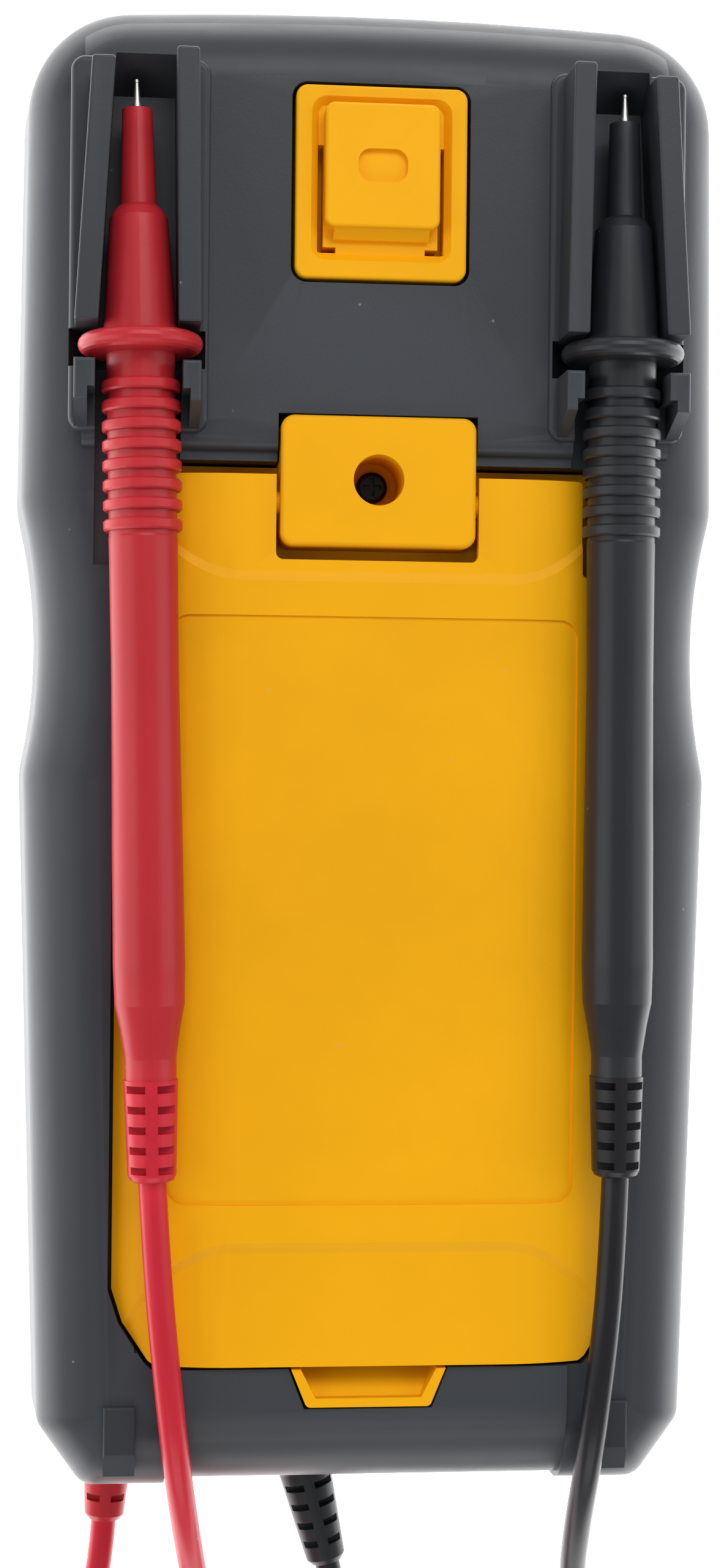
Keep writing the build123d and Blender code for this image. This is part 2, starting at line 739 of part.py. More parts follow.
with BuildPart() as front_case:
    add(front_form())
    add(grip_ribs(case_prism(rib_proud, rib_low_z, split_z), (rib_low_z, split_z)))
    with BuildPart(mode=Mode.PRIVATE) as face_recess:
        add(case_prism(-rim_width, -1, front_face_z))
        add(slab((-60, 60), (y_bottom - 1, jack_step_y), (-1, front_face_z)), mode=Mode.SUBTRACT)
    add(face_recess.part, mode=Mode.SUBTRACT)
    jack_recess = slab((-jack_end_half, jack_end_half), (y_bottom - 1, jack_step_y), (-1, jack_face_z))
    add(jack_recess, mode=Mode.SUBTRACT)
    add(front_space.part, mode=Mode.SUBTRACT)
    window_x = (-window_half_width, window_half_width)
    add(slab(window_x, window_y, (0, face_top_z)), mode=Mode.SUBTRACT)
    rebate_x = (-window_half_width - window_ledge, window_half_width + window_ledge)
    rebate_y = (window_y[0] - window_ledge, window_y[1] + window_ledge)
    add(slab(rebate_x, rebate_y, (face_top_z - window_thick, face_top_z)), mode=Mode.SUBTRACT)
    for index in range(len(button_names)):
        hole_x = (
            button_x(index) - button_width / 2 - button_gap,
            button_x(index) + button_width / 2 + button_gap,
        )
        hole_y = (
            button_y - button_length / 2 - button_gap,
            button_y + button_length / 2 + button_gap,
        )
        add(slab(hole_x, hole_y, (0, face_top_z)), mode=Mode.SUBTRACT)
    shaft_hole = knob_shaft_radius + running_clearance
    add(post(0, knob_y, shaft_hole, (0, face_top_z)), mode=Mode.SUBTRACT)
    for x, y in jack_places.values():
        add(post(x, y, jack_hole_radius, (0, board_z)), mode=Mode.SUBTRACT)
    for x, y in mirrored_places(case_screw_places):
        bore = case_screw_radius + running_clearance
        tip_z = case_screw_seat_z - case_screw_length
        add(post(x, y, bore, (tip_z - 0.2, split_z)), mode=Mode.SUBTRACT)
    for x, y in mirrored_places(board_screw_places):
        bore = board_screw_radius + running_clearance
        add(post(x, y, bore, (board_z - 5.2, board_z)), mode=Mode.SUBTRACT)
    with BuildPart(mode=Mode.PRIVATE) as seal_groove:
        add(case_prism(-seal_inset, split_z - seal_depth, split_z))
        seal_inner = -seal_inset - seal_width
        add(case_prism(seal_inner, split_z - seal_depth, split_z), mode=Mode.SUBTRACT)
    add(seal_groove.part, mode=Mode.SUBTRACT)
save(front_case, "front_case")

with BuildPart() as case_seal:
    add(seal_groove.part)
save(case_seal, "case_seal")

with BuildPart() as faceplate:
    plate_z = (front_face_z - faceplate_thick, front_face_z)
    add(case_prism(-rim_width - faceplate_margin, plate_z[0], plate_z[1]))
    lower_end = (y_bottom - 1, jack_step_y + faceplate_margin)
    add(slab((-60, 60), lower_end, (0, front_face_z)), mode=Mode.SUBTRACT)
    add(slab(window_x, window_y, (0, face_top_z)), mode=Mode.SUBTRACT)
    for index in range(len(button_names)):
        hole_x = (
            button_x(index) - button_width / 2 - button_gap,
            button_x(index) + button_width / 2 + button_gap,
        )
        add(slab(hole_x, hole_y, (0, face_top_z)), mode=Mode.SUBTRACT)
    add(post(0, knob_y, shaft_hole, (0, face_top_z)), mode=Mode.SUBTRACT)
save(faceplate, "faceplate")

# ---- Screws -----------------------------------------------------------------------------------
def screw(x, y, seat_z, shaft_radius, shaft_length, head_radius, head_height):
    """A pan-head screw with a cross recess, driven from the back."""
    with BuildPart(mode=Mode.PRIVATE) as body:
        add(post(x, y, shaft_radius, (seat_z - shaft_length, seat_z)))
        add(post(x, y, head_radius, (seat_z, seat_z + head_height)))
        fillet(body.faces().sort_by(Axis.Z)[-1].edges(), radius=head_height * 0.45)
        with BuildSketch(Plane.XY.offset(seat_z + head_height)):
            with Locations((x, y)):
                Rectangle(head_radius * 1.2, head_radius * 0.3)
                Rectangle(head_radius * 0.3, head_radius * 1.2)
        extrude(amount=-head_height * 0.6, mode=Mode.SUBTRACT)
    return body.part


with BuildPart() as case_screws:
    for x, y in mirrored_places(case_screw_places):
        add(
            screw(
                x, y, case_screw_seat_z, case_screw_radius,
                case_screw_length, case_screw_head, case_screw_head_height,
            )
        )
save(case_screws, "case_screws")

with BuildPart() as battery_cover_screw:
    add(
        screw(
            0, cover_screw_y, cover_screw_seat_z, cover_screw_radius,
            cover_screw_length, cover_screw_head, cover_screw_head_height,
        )
    )
save(battery_cover_screw, "battery_cover_screw")

with BuildPart() as cover_screw_insert:
    insert_range = (insert_bottom_z, insert_bottom_z + insert_length)
    add(post(0, cover_screw_y, insert_radius, insert_range))
    bore = cover_screw_radius + running_clearance
    add(post(0, cover_screw_y, bore, insert_range), mode=Mode.SUBTRACT)
save(cover_screw_insert, "cover_screw_insert")

# ---- Battery cover ----------------------------------------------------------------------------
with BuildPart() as battery_cover:
    plate_top = cover_floor_z + cover_thick
    cover_x = (-cover_half_width, cover_half_width)
    cover_y = (stand_bottom_y + 2, stand_top_y + stand_top_gap - cover_gap)
    add(slab(cover_x, cover_y, (cover_floor_z, plate_top)))
    with BuildPart(mode=Mode.PRIVATE) as block:
        block_x = (-block_half_width, block_half_width)
        add(slab(block_x, (block_bottom_y, block_top_y), (cover_floor_z, block_z)))
        fillet(block.edges().filter_by(Axis.Z), radius=1.8)
        fillet(block.faces().sort_by(Axis.Z)[-1].edges(), radius=0.6)
    add(block.part)
    with BuildPart(mode=Mode.PRIVATE) as scoop:
        add(scoop_outline(0, (cover_floor_z, scoop_z), 0.8))
        hollow_top = (stand_bottom_y + 3, scoop_bottom_y + scoop_lip)
        hollow = [
            (hollow_top[0], plate_top + 1.0),
            (stand_bottom_y, plate_top + 1.0),
            (hollow_top[1], scoop_z - 1.4),
            (hollow_top[1], scoop_z + 1),
            (hollow_top[0], scoop_z + 1),
        ]
        with BuildPart(mode=Mode.PRIVATE) as finger_hollow:
            add(side_prism(hollow, (-scoop_top_half, scoop_top_half)))
            add(scoop_outline(-scoop_lip, (cover_floor_z, scoop_z + 1)), mode=Mode.INTERSECT)
        add(finger_hollow.part, mode=Mode.SUBTRACT)
        under_stand = (stand_bottom_y - stand_gap, stand_bottom_y + 3)
        stand_reach = (stand_z - stand_thick - 1.5, stand_z)
        add(slab((-20, 20), under_stand, stand_reach), mode=Mode.SUBTRACT)
    add(scoop.part)
    add(post(0, cover_screw_y, cover_sleeve_radius, (cover_sleeve_z, cover_floor_z + 1)))
    add(post(0, cover_screw_y, cover_screw_hole, (cover_screw_seat_z, 60)), mode=Mode.SUBTRACT)
    bore = cover_screw_radius + running_clearance
    add(post(0, cover_screw_y, bore, (cover_sleeve_z, 60)), mode=Mode.SUBTRACT)
    for side in (-1, 1):
        bore_start = side * (block_half_width - trunnion_length + notch_gap - 0.2)
        with BuildSketch(Plane.YZ.offset(bore_start)):
            with Locations((hinge_y, hinge_z)):
                Circle(trunnion_radius + running_clearance)
        extrude(amount=side * trunnion_length, mode=Mode.SUBTRACT)
save(battery_cover, "battery_cover")

# ---- Tilt stand -------------------------------------------------------------------------------
def crown_form(drop):
    """A solid whose top is flat across the middle and curves down to the wings, lowered by a drop."""
    fall = stand_z - stand_wing_z
    curved = stand_half_width - stand_flat_half
    curve_radius = (curved**2 + fall**2) / (2 * fall)
    reach = curved + 1

    def level(across):
        return stand_z - drop - curve_radius + math.sqrt(curve_radius**2 - across**2)

    half = stand_flat_half + reach
    middle = stand_flat_half + reach / 2
    with BuildPart(mode=Mode.PRIVATE) as crown:
        with BuildSketch(Plane.XZ.offset(-stand_top_y - 1)):
            with BuildLine():
                Line((-stand_flat_half, level(0)), (stand_flat_half, level(0)))
                ThreePointArc(
                    (stand_flat_half, level(0)), (middle, level(reach / 2)), (half, level(reach))
                )
                Polyline((half, level(reach)), (half, 0), (-half, 0), (-half, level(reach)))
                ThreePointArc(
                    (-half, level(reach)), (-middle, level(reach / 2)), (-stand_flat_half, level(0))
                )
            make_face()
        extrude(amount=stand_top_y - stand_bottom_y + 2)
    return crown.part


def end_zone(band_y, direction):
    """What is cut away so that an end of the stand lies a little lower, beyond a shallow slope."""
    depth = stand_z - stand_wing_z + 2
    far_y = band_y + direction * 60
    slope_y = band_y + direction * depth * math.tan(math.radians(band_slope))
    profile = [
        (band_y, stand_z),
        (slope_y, stand_z - depth),
        (far_y, stand_z - depth),
        (far_y, stand_z + 1),
        (band_y, stand_z + 1),
    ]
    with BuildPart(mode=Mode.PRIVATE) as zone:
        add(side_prism(profile, (-stand_half_width - 0.5, stand_half_width + 0.5)))
        add(crown_form(end_zone_drop), mode=Mode.SUBTRACT)
    return zone.part


with BuildPart() as tilt_stand:
    add(crown_form(0))
    add(crown_form(stand_thick), mode=Mode.SUBTRACT)
    add(stand_outline(0, (0, 60), 0.6), mode=Mode.INTERSECT)
    notch_x = block_half_width + notch_gap
    with BuildPart(mode=Mode.PRIVATE) as notch:
        add(slab((-notch_x, notch_x), (notch_bottom_y, stand_top_y + 5), (0, 60)))
        fillet(notch.edges().filter_by(Axis.Z), radius=notch_corner)
    add(notch.part, mode=Mode.SUBTRACT)
    add(end_zone(upper_band_y, 1), mode=Mode.SUBTRACT)
    add(end_zone(lower_band_y, -1), mode=Mode.SUBTRACT)
    with BuildPart(mode=Mode.PRIVATE) as panel:
        panel_x = (-panel_half_width, panel_half_width)
        panel_z = (stand_wing_z - 1, stand_z + 1)
        add(slab(panel_x, (panel_bottom_y, panel_top_y), panel_z))
        fillet(panel.edges().filter_by(Axis.Z), radius=panel_corner)
        add(crown_form(panel_depth), mode=Mode.SUBTRACT)
    add(panel.part, mode=Mode.SUBTRACT)
    for side in (-1, 1):
        with BuildSketch(Plane.YZ.offset(side * notch_x)):
            with Locations((hinge_y, hinge_z)):
                Circle(knuckle_radius)
        extrude(amount=side * knuckle_length)
        with BuildSketch(Plane.YZ.offset(side * (notch_x + 1))):
            with Locations((hinge_y, hinge_z)):
                Circle(trunnion_radius)
        extrude(amount=-side * (trunnion_length + 1 - 0.4))
save(tilt_stand, "tilt_stand")

# ---- Hanger insert and feet -------------------------------------------------------------------
with BuildPart() as hanger_insert:
    hanger_x = (-hanger_half_width, hanger_half_width)
    add(slab(hanger_x, (hanger_bottom_y, hanger_top_y), (hanger_floor_z, hanger_z)))
    fillet(hanger_insert.edges().filter_by(Axis.Z), radius=hanger_corner)
    fillet(hanger_insert.faces().sort_by(Axis.Z)[-1].edges(), radius=0.4)
    with BuildSketch(Plane.XY.offset(hanger_well_z)):
        with Locations((0, (hanger_well_top_y + hanger_well_bottom_y) / 2)):
            RectangleRounded(
                2 * hanger_well_half - 2.0,
                hanger_well_top_y - hanger_well_bottom_y - 2.0,
                1.0,
            )
    extrude(amount=hanger_z - hanger_well_z + 0.2, taper=-hanger_well_flare, mode=Mode.SUBTRACT)
    for side in (-1, 1):
        groove_x = (
            side * (hanger_button_half + hanger_groove),
            side * hanger_button_half,
        )
        groove_end_y = hanger_well_bottom_y + 1.1
        groove_top_y = hanger_button_top_y - 5.2
        groove_z = (hanger_floor_z + 1, hanger_z)
        add(slab(groove_x, (groove_end_y, groove_top_y), groove_z), mode=Mode.SUBTRACT)
        corner_x = (side * 6.0, side * (hanger_button_half + hanger_groove))
        corner_y = (groove_end_y, groove_end_y + hanger_groove)
        add(slab(corner_x, corner_y, groove_z), mode=Mode.SUBTRACT)
    with BuildPart(mode=Mode.PRIVATE) as button:
        button_x_range = (-hanger_button_half, hanger_button_half)
        button_y_range = (hanger_button_bottom_y, hanger_button_top_y)
        add(slab(button_x_range, button_y_range, (hanger_floor_z + 1, hanger_button_z)))
        fillet(button.edges().filter_by(Axis.Z), radius=1.3)
        fillet(button.faces().sort_by(Axis.Z)[-1].edges(), radius=0.5)
    ramp_profile = [
        (hanger_button_bottom_y + 2, hanger_button_z - 0.5),
        (hanger_button_bottom_y, hanger_button_z - 0.5),
        (hanger_button_bottom_y - 1.3, hanger_well_z + 0.8),
        (hanger_button_bottom_y - 1.3, hanger_floor_z + 1),
        (hanger_button_bottom_y + 2, hanger_floor_z + 1),
    ]
    add(side_prism(ramp_profile, (1.3 - hanger_button_half, hanger_button_half - 1.3)))
    add(button.part)
    with BuildSketch(Plane.XY.offset(hanger_button_z)):
        with Locations((0, hanger_slot_y)):
            RectangleRounded(2 * hanger_slot_half, hanger_slot_height, hanger_slot_corner)
    extrude(amount=-hanger_slot_depth, mode=Mode.SUBTRACT)
save(hanger_insert, "hanger_insert")

with BuildPart() as foot_pads:
    foot_z = shoulder_z + foot_proud
    foot_profile = [
        (foot_top_y, foot_floor),
        (foot_top_y, foot_z),
        (foot_bend_y, foot_z),
        (foot_bottom_y, foot_z - foot_drop),
        (foot_bottom_y, foot_floor),
    ]
    for side in (-1, 1):
        foot_range_x = (side * (foot_x - foot_width / 2), side * (foot_x + foot_width / 2))
        add(side_prism(foot_profile, foot_range_x))
    fillet(foot_pads.faces().group_by(Axis.Z)[-1].edges(), radius=0.3)
save(foot_pads, "foot_pads")

# ---- Display ----------------------------------------------------------------------------------
with BuildPart() as display_window:
    add(slab(rebate_x, rebate_y, (face_top_z - window_thick, face_top_z)))
save(display_window, "display_window")

frame_margin = 1.1
lcd_front_z = face_top_z + 0.5
lcd_back_z = lcd_front_z + 2.8
lcd_x = (-window_half_width + 1, window_half_width - 1)
lcd_y = (window_y[0] + 1, window_y[1] - 1)
with BuildPart() as lcd_panel:
    add(slab(lcd_x, lcd_y, (lcd_front_z, lcd_back_z)))
save(lcd_panel, "lcd_panel")

with BuildPart() as lcd_frame:
    frame_x = (rebate_x[0] - frame_margin, rebate_x[1] + frame_margin)
    frame_y = (rebate_y[0] - frame_margin, rebate_y[1] + frame_margin)
    add(slab(frame_x, frame_y, (face_top_z, board_z)))
    add(slab(lcd_x, lcd_y, (lcd_front_z, board_z)), mode=Mode.SUBTRACT)
    view_x = (lcd_x[0] + 1.5, lcd_x[1] - 1.5)
    view_y = (lcd_y[0] + 1.5, lcd_y[1] - 1.5)
    add(slab(view_x, view_y, (face_top_z, board_z)), mode=Mode.SUBTRACT)
save(lcd_frame, "lcd_frame")

with BuildPart() as zebra_strips:
    for strip_y in ((lcd_y[0], lcd_y[0] + 2), (lcd_y[1] - 2, lcd_y[1])):
        add(slab((lcd_x[0] + 2, lcd_x[1] - 2), strip_y, (lcd_back_z, board_z)))
save(zebra_strips, "zebra_strips")

# ---- Buttons and keypad -----------------------------------------------------------------------
flange_z = (face_top_z, face_top_z + button_flange_thick)
for index, name in enumerate(button_names):
    with BuildPart() as push_button:
        cap_x = (button_x(index) - button_width / 2, button_x(index) + button_width / 2)
        cap_y = (button_y - button_length / 2, button_y + button_length / 2)
        cap_z = (front_face_z - faceplate_thick - button_proud, face_top_z)
        add(slab(cap_x, cap_y, cap_z))
        fillet(push_button.edges().filter_by(Axis.Z), radius=1.2)
        fillet(push_button.faces().sort_by(Axis.Z)[0].edges(), radius=0.5)
        flange_x = (cap_x[0] - button_flange, cap_x[1] + button_flange)
        flange_y = (cap_y[0] - button_flange, cap_y[1] + button_flange)
        add(slab(flange_x, flange_y, flange_z))
    save(push_button, f"{name}_button")

with BuildPart() as keypad_membrane:
    pad_half_x = button_x(len(button_names) - 1) + button_width / 2 + 2.0
    pad_half_y = button_length / 2 + 1.9
    membrane_z = flange_z[1] + button_travel + 0.6
    pad_x = (-pad_half_x, pad_half_x)
    pad_y = (button_y - pad_half_y, button_y + pad_half_y)
    add(slab(pad_x, pad_y, (membrane_z, board_z)))
    hollow_x = (1.2 - pad_half_x, pad_half_x - 1.2)
    hollow_y = (pad_y[0] + 1.2, pad_y[1] - 1.2)
    add(slab(hollow_x, hollow_y, (membrane_z + 1.0, board_z)), mode=Mode.SUBTRACT)
    for index in range(len(button_names)):
        dome_z = (flange_z[1] + button_travel + 0.05, membrane_z)
        add(post(button_x(index), button_y, 2.0, dome_z))
save(keypad_membrane, "keypad_membrane")

# ---- Rotary switch ----------------------------------------------------------------------------
with BuildPart() as rotary_knob:
    plate_clearance_z = front_face_z - faceplate_thick - 0.2
    add(post(0, knob_y, knob_radius, (knob_disc_z, plate_clearance_z)))
    fillet(rotary_knob.faces().sort_by(Axis.Z)[0].edges(), radius=1.0)
    with BuildPart(mode=Mode.PRIVATE) as grip:
        with BuildSketch(Plane.XY.offset(knob_face_z)):
            with Locations((0, knob_y)):
                SlotOverall(2 * knob_radius - 2.5, 2 * grip_half_width, rotation=90)
        extrude(amount=knob_disc_z - knob_face_z + 0.5)
        fillet(grip.faces().sort_by(Axis.Z)[0].edges(), radius=0.8)
    add(grip.part)
    pointer_y = (knob_y + knob_radius - 9.5, knob_y + knob_radius - 3.5)
    add(slab((-0.7, 0.7), pointer_y, (knob_face_z, knob_face_z + 0.5)), mode=Mode.SUBTRACT)
    add(post(0, knob_y, knob_shaft_radius, (plate_clearance_z, rotor_z)))
save(rotary_knob, "rotary_knob")

with BuildPart() as selector_rotor:
    add(post(0, knob_y, rotor_radius, (rotor_z, rotor_z + rotor_thick)))
    with BuildSketch(Plane.XZ.offset(-knob_y - rotor_radius - 1)):
        with Locations((0, rotor_z + rotor_thick / 2)):
            Circle(ball_radius + running_clearance)
    extrude(amount=2 * rotor_radius + 2, mode=Mode.SUBTRACT)
    add(post(0, knob_y, 9.0, (rotor_z, rotor_z + rotor_thick)))
save(selector_rotor, "selector_rotor")

with BuildPart() as rotor_contacts:
    wiper_z = (rotor_z + rotor_thick, board_z - contact_gap)
    for radius, angle in ((7.0, 40), (10.0, 160), (13.0, 280)):
        wiper_angle = math.radians(angle)
        wiper_x = radius * math.cos(wiper_angle)
        wiper_y = knob_y + radius * math.sin(wiper_angle)
        add(slab((wiper_x - 1.6, wiper_x + 1.6), (wiper_y - 0.7, wiper_y + 0.7), wiper_z))
save(rotor_contacts, "rotor_contacts")

ball_centre = detent_wall_radius - 0.1 - ball_radius
with BuildPart() as detent_balls:
    for side in (-1, 1):
        with Locations((0, knob_y + side * ball_centre, rotor_z + rotor_thick / 2)):
            Sphere(ball_radius)
save(detent_balls, "detent_balls")

with BuildPart() as detent_springs:
    for side in (-1, 1):
        with BuildSketch(Plane.XZ.offset(-knob_y - side * 9.0)):
            with Locations((0, rotor_z + rotor_thick / 2)):
                Circle(0.85)
                Circle(0.5, mode=Mode.SUBTRACT)
        extrude(amount=-side * (ball_centre - ball_radius - 9.0))
save(detent_springs, "detent_springs")

# ---- Circuit board and what it carries --------------------------------------------------------
board_top_z = board_z + board_thick
with BuildPart() as main_board:
    add(case_prism(-board_margin, board_z, board_top_z))
    for x, y in mirrored_places(case_screw_places):
        add(post(x, y, boss_radius + 0.4, (board_z, board_top_z)), mode=Mode.SUBTRACT)
    for x, y in mirrored_places(board_screw_places):
        bore = board_screw_radius + running_clearance
        add(post(x, y, bore, (board_z, board_top_z)), mode=Mode.SUBTRACT)
    for x, y in jack_places.values():
        hole = jack_radius + running_clearance
        add(post(x, y, hole, (board_z, board_top_z)), mode=Mode.SUBTRACT)
save(main_board, "main_board")

with BuildPart() as board_screws:
    for x, y in mirrored_places(board_screw_places):
        add(screw(x, y, board_top_z, board_screw_radius, 6.0, board_screw_head, 1.4))
save(board_screws, "board_screws")

for jack_name, (x, y) in jack_places.items():
    with BuildPart() as jack_socket:
        add(post(x, y, jack_radius, (board_z, jack_top_z)))
        add(post(x, y, jack_flange_radius, (board_top_z, board_top_z + 1.0)))
        add(post(x, y, jack_bore_radius, (board_z, pin_top_z + 1)), mode=Mode.SUBTRACT)
    save(jack_socket, f"jack_{jack_name}")


def cartridge(y, radius, length):
    """A fuse lying across the board, with a wider cap at each end."""
    axis_z = board_top_z + clip_thick + radius
    with BuildPart(mode=Mode.PRIVATE) as body:
        with BuildSketch(Plane.YZ.offset(-length / 2)):
            with Locations((y, axis_z)):
                Circle(radius - 0.3)
        extrude(amount=length)
        for start in (-length / 2, length / 2 - 6.0):
            with BuildSketch(Plane.YZ.offset(start)):
                with Locations((y, axis_z)):
                    Circle(radius)
            extrude(amount=6.0)
    return body.part


def cradle(y, radius, length):
    """Two spring clips that hold a fuse by its caps."""
    axis_z = board_top_z + clip_thick + radius
    with BuildPart(mode=Mode.PRIVATE) as clips:
        for start in (-length / 2, length / 2 - clip_width):
            outer_y = (y - radius - clip_thick, y + radius + clip_thick)
            inner_y = (y - radius, y + radius)
            x_range = (start, start + clip_width)
            add(slab(x_range, outer_y, (board_top_z, axis_z + radius * 0.6)))
            add(slab(x_range, inner_y, (board_top_z + clip_thick, 60)), mode=Mode.SUBTRACT)
    return clips.part


with BuildPart() as fuse_10a:
    add(cartridge(fuse_10a_y, fuse_10a_radius, fuse_10a_length))
save(fuse_10a, "fuse_10a")

with BuildPart() as fuse_ma:
    add(cartridge(fuse_ma_y, fuse_ma_radius, fuse_ma_length))
save(fuse_ma, "fuse_ma")

with BuildPart() as fuse_clips:
    add(cradle(fuse_10a_y, fuse_10a_radius, fuse_10a_length))
    add(cradle(fuse_ma_y, fuse_ma_radius, fuse_ma_length))
save(fuse_clips, "fuse_clips")

with BuildPart() as current_shunt:
    shunt_y = jack_step_y + 4.5
    with BuildLine() as shunt_route:
        FilletPolyline(
            (-38, shunt_y, board_top_z),
            (-38, shunt_y, board_top_z + 8),
            (-27, shunt_y, board_top_z + 8),
            (-27, shunt_y, board_top_z),
            radius=3,
        )
    with BuildSketch(Plane(origin=(-38, shunt_y, board_top_z), z_dir=(0, 0, 1))):
        Circle(0.8)
    sweep(path=shunt_route.wires()[0])
save(current_shunt, "current_shunt")

with BuildPart() as buzzer:
    add(post(33, fuse_ma_y - 3, buzzer_radius, (board_top_z, board_top_z + buzzer_height)))
    top = board_top_z + buzzer_height
    add(post(33, fuse_ma_y - 3, 1.0, (top - 1.5, top)), mode=Mode.SUBTRACT)
save(buzzer, "buzzer")

with BuildPart() as meter_chip:
    chip_y = (window_centre_y - chip_size / 2, window_centre_y + chip_size / 2)
    add(slab((-chip_size / 2, chip_size / 2), chip_y, (board_top_z, board_top_z + 1.4)))
save(meter_chip, "meter_chip")

# ---- Batteries --------------------------------------------------------------------------------
cell_places = [(index - (cell_count - 1) / 2) * cell_pitch for index in range(cell_count)]
with BuildPart() as batteries:
    for index, x in enumerate(cell_places):
        way = 1 if index % 2 == 0 else -1
        nib_y = compartment_y + way * (compartment_length / 2 - contact_plate)
        with BuildSketch(Plane.XZ.offset(-nib_y)):
            with Locations((x, cell_z)):
                Circle(nib_radius)
        extrude(amount=way * (nib_length + 0.5))
        with BuildSketch(Plane.XZ.offset(-nib_y + way * nib_length)):
            with Locations((x, cell_z)):
                Circle(cell_radius)
        extrude(amount=way * cell_length)
save(batteries, "batteries")

with BuildPart() as battery_plates:
    for x in cell_places:
        for way in (-1, 1):
            wall_y = compartment_y + way * compartment_length / 2
            plate_y = (wall_y - way * contact_plate, wall_y)
            add(slab((x - 5.0, x + 5.0), plate_y, (cell_z - 5.0, cell_z + 5.0)))
save(battery_plates, "battery_plates")

spring_turns = 4
spring_wire = 0.35
with BuildPart() as battery_springs:
    for index, x in enumerate(cell_places):
        way = 1 if index % 2 == 0 else -1
        base_y = compartment_y - way * (compartment_length / 2 - contact_plate)
        for turn in range(spring_turns):
            radius = 4.2 - 0.55 * turn
            ring_y = base_y + way * (spring_wire + turn * (spring_length - 2 * spring_wire) / 3)
            with BuildSketch(Plane.XY.offset(cell_z)):
                with Locations((x + radius, ring_y)):
                    Circle(spring_wire)
            revolve(axis=Axis((x, ring_y, cell_z), (0, 1, 0)))
        ties = [(x, cell_z + 4.2 - 0.55 * 1.5), (x, cell_z - 4.2 + 0.55 * 1.5)]
        for tie_x, tie_z in ties:
            start_y = base_y + way * 0.1
            with BuildSketch(Plane.XZ.offset(-start_y)):
                with Locations((tie_x, tie_z)):
                    Rectangle(0.5, 2.4)
            extrude(amount=-way * (spring_length - 0.2))
save(battery_springs, "battery_springs")

# ---- Leads ------------------------------------------------------------------------------------
leads = {
    "red": {
        "tip": (-32.7, y_top - 14.0, 47.6),
        "tail": (-29.25, y_bottom + 44.1, 49.0),
        "jack": jack_places["volt"],
        "plug_turn": -2.9,
        "coil_x": -coil_centre_x,
        "probe_run": [(-28.5, -69.0, 49.0), (-27.2, -81.5, 48.8), (-25.7, -94.5, 46.8),
                      (-23.9, -106.5, 40.5), (-22.0, -117.0, 31.0), (-18.6, -127.5, 20.5),
                      (-13.0, -138.5, 13.2), (-7.4, -149.0, 10.1)],
        "probe_run_turn": 15.0,
        "plug_run": [(-35.6, -124.0, 6.0), (-39.8, -135.0, 3.8), (-44.7, -145.5, 2.3)],
        "plug_run_turn": 150.0,
    },
    "black": {
        "tip": (32.45, y_top - 13.6, 47.6),
        "tail": (32.4, y_bottom + 44.1, 49.0),
        "jack": jack_places["com"],
        "plug_turn": 14.2,
        "coil_x": coil_centre_x,
        "probe_run": [(32.0, -69.0, 49.0), (30.9, -81.5, 48.9), (29.7, -94.5, 47.0),
                      (29.4, -106.0, 40.0), (30.4, -116.5, 30.5), (34.0, -127.0, 20.5),
                      (39.8, -137.0, 13.4), (45.6, -145.7, 10.2)],
        "probe_run_turn": 25.0,
        "plug_run": [(0.6, -130.5, 5.6), (2.9, -141.0, 3.4), (4.0, -152.0, 1.95)],
        "plug_run_turn": 172.0,
    },
}
cord_radius = cord_diameter / 2


def direction(start, end):
    return (Vector(*end) - Vector(*start)).normalized()


def long_plane(origin, along):
    """A plane whose x runs along a piece and whose y points up."""
    return Plane(origin=origin, x_dir=along, z_dir=along.cross(Vector(0, 0, 1)))


def turned(origin, along, profile):
    """A round piece from its (distance, radius) profile."""
    with BuildPart(mode=Mode.PRIVATE) as piece:
        with BuildSketch(long_plane(origin, along)):
            with BuildLine():
                Polyline(*profile, close=True)
            make_face()
        revolve(axis=Axis(origin, along))
    return piece.part


def relief_pockets(origin, along, starts, depth):
    """Rows of slots each side of a strain relief's spine."""
    plane = long_plane(origin, along)
    with BuildPart(mode=Mode.PRIVATE) as pockets:
        for start in starts:
            for side in (-1, 1):
                with BuildSketch(plane.offset(side * 0.8)):
                    with Locations((start + relief_slot_length / 2, depth + 2.5)):
                        Rectangle(relief_slot_length, 5.0)
                extrude(amount=side * 3.4)
                with BuildSketch(plane.offset(side * 0.8)):
                    with Locations((start + relief_slot_length / 2, -depth - 2.5)):
                        Rectangle(relief_slot_length, 5.0)
                extrude(amount=side * 3.4)
    return pockets.part


def corner_radii(points):
    """For each bend, the radius whose tangents take 0.45 of the shorter run beside it."""
    radii = []
    for before, here, after in zip(points, points[1:], points[2:]):
        first = Vector(*here) - Vector(*before)
        second = Vector(*after) - Vector(*here)
        half_turn = math.radians(first.get_angle(second)) / 2
        radii.append(0.45 * min(first.length, second.length) / math.tan(half_turn))
    return radii


def cord_run(points, name):
    """A round cord swept along straight runs and tangent bends."""
    radii = corner_radii(points)
    print(name, "bend radii", [round(radius, 1) for radius in radii])
    with BuildPart(mode=Mode.PRIVATE) as run:
        with BuildLine() as route:
            FilletPolyline(*points, radius=radii)
        with BuildSketch(Plane(origin=points[0], z_dir=direction(points[0], points[1]))):
            Circle(cord_radius)
        sweep(path=route.wires()[0])
    length = route.wires()[0].length
    section = math.pi * cord_radius**2
    print(name, "length", round(length, 1), "fill", round(run.part.volume / (section * length), 3))
    return run.part


def coil_entry(centre_x, turn, z):
    """Where a run joins the outer turn of its coil, at an angle from +X."""
    angle = math.radians(turn)
    edge = coil_mean_radius + cord_diameter
    return (centre_x + edge * math.cos(angle), coil_centre_y + edge * math.sin(angle), z)


